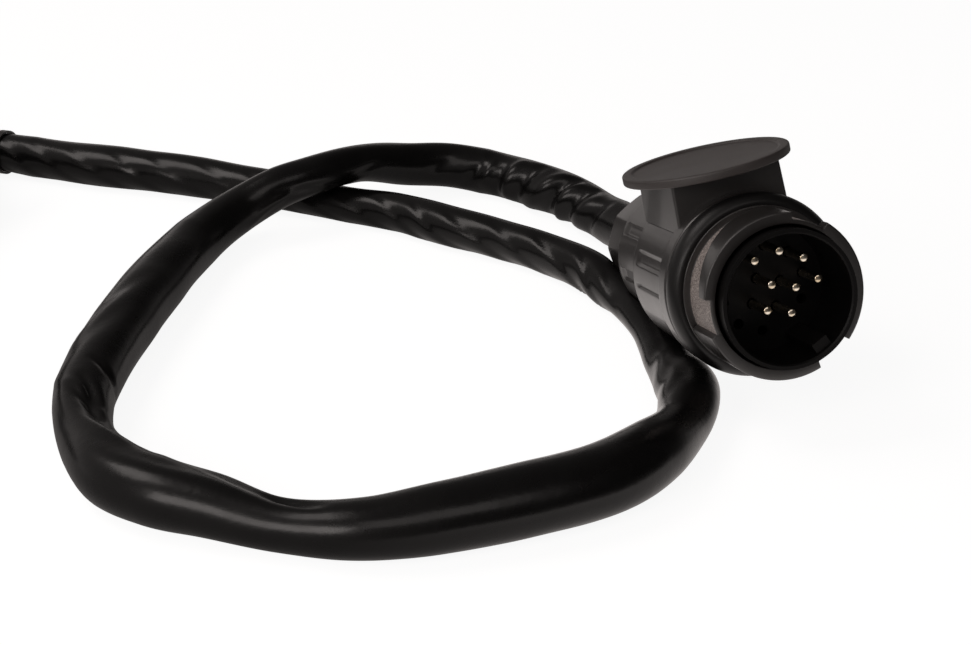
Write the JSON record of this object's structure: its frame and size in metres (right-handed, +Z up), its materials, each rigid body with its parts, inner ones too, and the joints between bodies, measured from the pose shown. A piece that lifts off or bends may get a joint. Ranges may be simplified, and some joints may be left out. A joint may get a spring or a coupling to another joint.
{
  "type": "trailer wiring connector",
  "caption": "Round black trailer plug with a turning bayonet grip, recessed contact pins, rubber face seal and cable gland, lying on its sleeved lead.",
  "frame": {"origin": "centre of the contact shroud's front rim, on the plug's axis", "axes": "+Z up off the ground, +Y from the plug's front to its cable in plan, +X to the right seen from the front; the plug's axis tilts 15 degrees up towards -Y"},
  "size_m": [0.4288, 0.3515, 0.0722],
  "materials": {
    "black_nylon": "matte",
    "black_rubber": "satin",
    "black_vinyl": "gloss",
    "nickel_brass": "satin",
    "core_insulation": "satin"
  },
  "bodies": {
    "core": {"contact_insert": "black_nylon", "contact_pin_1": "nickel_brass", "contact_pin_2": "nickel_brass", "contact_pin_3": "nickel_brass", "contact_pin_4": "nickel_brass", "contact_pin_5": "nickel_brass", "contact_pin_6": "nickel_brass", "contact_pin_7": "nickel_brass", "contact_pin_8": "nickel_brass", "terminal_screws": "nickel_brass", "insert_o_ring": "black_rubber", "core_barrel": "black_nylon", "core_wires": "core_insulation", "clamp_lower": "black_nylon", "clamp_upper": "black_nylon", "clamp_screws": "nickel_brass", "rear_cap": "black_nylon", "gland_seal": "black_rubber", "gland_washer": "nickel_brass", "gland_nut": "black_nylon", "sleeve_tube": "black_vinyl", "sleeve_coil": "black_vinyl", "edge_tie": "black_nylon", "coil_tie": "black_nylon", "core_ends": "core_insulation"},
    "coupling_shell": {"bayonet_collar": "black_nylon", "face_seal": "black_rubber", "grip_housing": "black_nylon", "grip_plate": "black_nylon"}
  },
  "joints": [
    {"name": "coupling_turn", "type": "hinge", "parent": "core", "child": "coupling_shell", "pos_m": [0, 0, 0], "axis": [0, -0.9659, 0.2588], "range_deg": [0, 90]}
  ]
}
